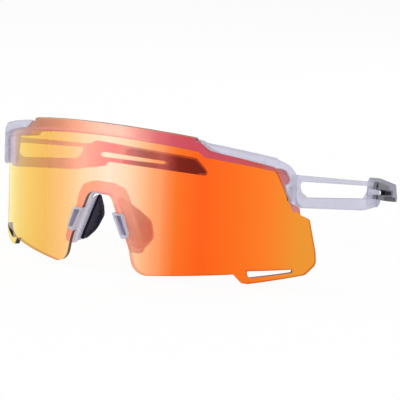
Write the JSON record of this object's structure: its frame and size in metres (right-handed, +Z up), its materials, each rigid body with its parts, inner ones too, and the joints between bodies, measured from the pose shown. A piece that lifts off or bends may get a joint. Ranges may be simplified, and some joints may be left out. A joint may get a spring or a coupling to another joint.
{
  "type": "cycling glasses",
  "caption": "Sports glasses with a one-piece curved mirrored shield, a clear half-rim over the brow, a clip-on nose piece and folding skeleton temples with rubber ear grips.",
  "frame": {"origin": "middle of the underside of the glasses' box, with the temples open; z = 0 is the lens's lowest edge", "axes": "+X towards the wearer's left, +Y from the lens towards the wearer's ears, +Z up"},
  "size_m": [0.1378, 0.1481, 0.0536],
  "materials": {
    "lens": "mirror coated, orange to gold, see-through",
    "clear_plastic": "frosted clear",
    "soft_rubber": "matt",
    "screw_steel": "plain",
    "insert_brass": "plain"
  },
  "bodies": {
    "front": {"lens": "lens", "front_frame": "clear_plastic", "left_hinge_screw": "screw_steel", "right_hinge_screw": "screw_steel", "left_screw_insert": "insert_brass", "right_screw_insert": "insert_brass", "nose_carrier": "clear_plastic", "left_nose_pad": "soft_rubber", "right_nose_pad": "soft_rubber"},
    "left_arm": {"left_temple": "clear_plastic", "left_ear_grip": "soft_rubber"},
    "right_arm": {"right_temple": "clear_plastic", "right_ear_grip": "soft_rubber"}
  },
  "joints": [
    {"name": "left_temple_fold", "type": "hinge", "parent": "front", "child": "left_arm", "pos_m": [0.06125, -0.04155, 0.032], "axis": [0, 0, 1], "range_deg": [0, 80]},
    {"name": "right_temple_fold", "type": "hinge", "parent": "front", "child": "right_arm", "pos_m": [-0.06125, -0.04155, 0.032], "axis": [0, 0, -1], "range_deg": [0, 70]}
  ]
}
